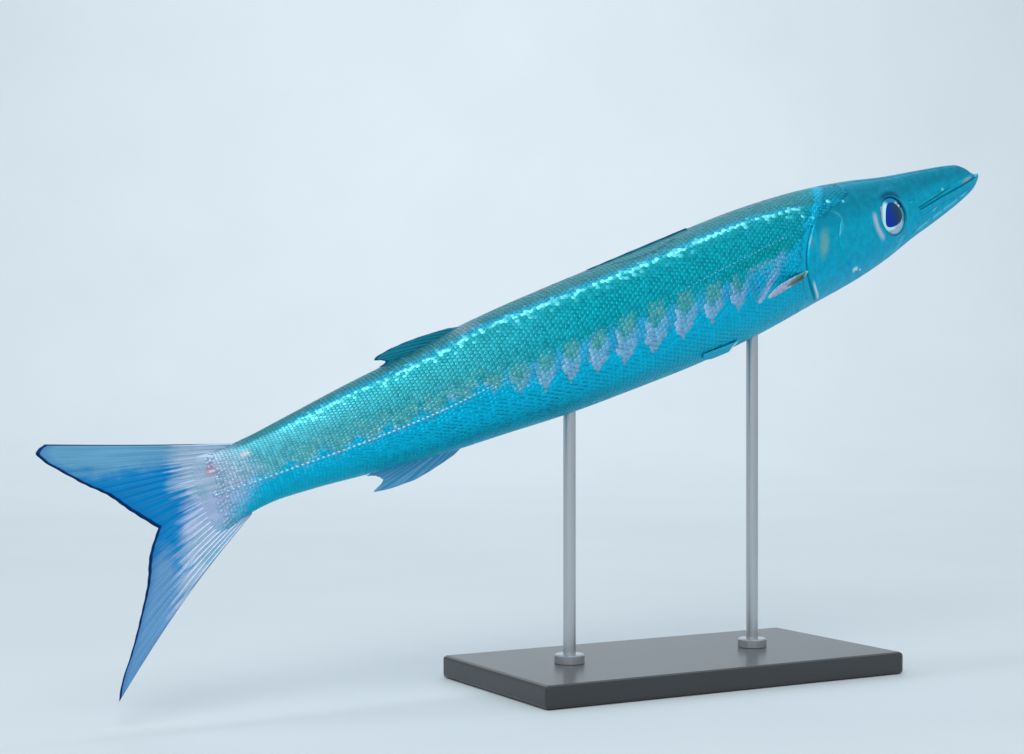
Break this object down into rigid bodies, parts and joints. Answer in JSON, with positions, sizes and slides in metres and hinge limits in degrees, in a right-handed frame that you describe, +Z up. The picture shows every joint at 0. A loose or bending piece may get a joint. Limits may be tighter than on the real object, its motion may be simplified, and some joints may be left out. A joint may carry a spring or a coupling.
{
  "type": "barracuda museum model",
  "caption": "Life-size still model of a sawtooth barracuda, head raised, held over a flat display base by rods.",
  "frame": {"origin": "middle of the underside of the stand's base, where it rests", "axes": "+Z up, +X the way the fish heads, seen from above; the fish's middle plane is y = 0"},
  "size_m": [0.8527, 0.17, 0.4347],
  "materials": {
    "skin": "painted fish skin with a wet, silvery blue-green sheen",
    "eyes": "glass eye with a silver ring and a dark pupil",
    "fins": "thin painted fin membrane with raised rays",
    "stand_base": "fine matt black",
    "stand_rods": "satin steel"
  },
  "bodies": {
    "root": {"head": "skin", "lower_jaw": "skin", "gill_cover_right": "skin", "gill_cover_left": "skin", "eye_right": "eyes", "eye_left": "eyes", "trunk_front": "skin", "trunk_middle": "skin", "trunk_rear": "skin", "tail_stalk": "skin", "tail_fin_upper": "fins", "tail_fin_lower": "fins", "first_dorsal_fin": "fins", "second_dorsal_fin": "fins", "anal_fin": "fins", "pectoral_fin_right": "fins", "pectoral_fin_left": "fins", "pelvic_fin_right": "fins", "pelvic_fin_left": "fins", "stand_base": "stand_base", "stand_rod_front": "stand_rods", "stand_rod_rear": "stand_rods"}
  },
  "joints": []
}
